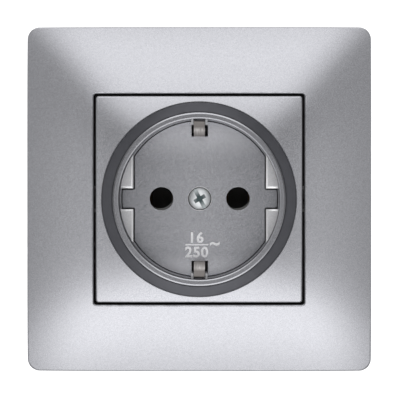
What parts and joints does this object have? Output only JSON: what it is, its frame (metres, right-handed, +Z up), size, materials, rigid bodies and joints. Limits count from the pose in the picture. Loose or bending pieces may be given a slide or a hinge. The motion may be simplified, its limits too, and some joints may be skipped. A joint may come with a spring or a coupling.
{
  "type": "wall socket",
  "caption": "Flush-mounted earthed wall socket with a round plug well, side earth clips, a dark trim ring and a square silver cover frame, fixed in its box by screws or spreading claws.",
  "frame": {"origin": "on the socket's axis at the wall's surface, which is the support ring's back face", "axes": "+Z up, +X to the right as seen from the room, front towards -Y and the wiring side into the wall along +Y"},
  "size_m": [0.084, 0.0391, 0.084],
  "materials": {
    "silver_lacquer": "satin metallic silver lacquer",
    "dark_trim": "smooth satin dark grey",
    "black_moulding": "moulded black, fine matt",
    "zinc_steel": "zinc-plated pressed steel",
    "zinc_screw": "bright zinc-plated screw",
    "contact_brass": "rolled brass strip",
    "tinned_bronze": "tinned bronze spring strip"
  },
  "bodies": {
    "socket": {"cover_frame": "silver_lacquer", "front_plate": "silver_lacquer", "trim_ring": "dark_trim", "contact_cover": "silver_lacquer", "centre_screw": "zinc_screw", "support_ring": "zinc_steel", "base_housing": "black_moulding", "ring_rivets": "zinc_steel", "left_contact": "contact_brass", "right_contact": "contact_brass", "earth_strap": "tinned_bronze", "left_wire_clamp": "zinc_steel", "right_wire_clamp": "zinc_steel", "earth_wire_clamp": "zinc_steel", "left_terminal_screw": "zinc_screw", "right_terminal_screw": "zinc_screw", "earth_terminal_screw": "zinc_screw", "left_claw_pin": "zinc_steel", "right_claw_pin": "zinc_steel"},
    "left_claw": {"left_claw": "zinc_steel"},
    "right_claw": {"right_claw": "zinc_steel"},
    "left_claw_screw": {"left_claw_screw": "zinc_screw"},
    "right_claw_screw": {"right_claw_screw": "zinc_screw"}
  },
  "joints": [
    {"name": "left_claw_screw_turn", "type": "hinge", "parent": "socket", "child": "left_claw_screw", "pos_m": [-0.0244, 0, 0], "axis": [0, 1, 0], "range_deg": [0, 2376]},
    {"name": "right_claw_screw_turn", "type": "hinge", "parent": "socket", "child": "right_claw_screw", "pos_m": [0.0244, 0, 0], "axis": [0, 1, 0], "range_deg": [0, 2376]},
    {"name": "left_claw_swing", "type": "hinge", "parent": "socket", "child": "left_claw", "pos_m": [-0.02032, 0.015, 0], "axis": [0, 0, 1], "range_deg": [0, 44]},
    {"name": "right_claw_swing", "type": "hinge", "parent": "socket", "child": "right_claw", "pos_m": [0.02032, 0.015, 0], "axis": [0, 0, -1], "range_deg": [0, 44]}
  ],
  "couplings": [
    {"joint": "left_claw_swing", "follows": "left_claw_screw_turn", "ratio": 0.018519},
    {"joint": "right_claw_swing", "follows": "right_claw_screw_turn", "ratio": 0.018519}
  ]
}
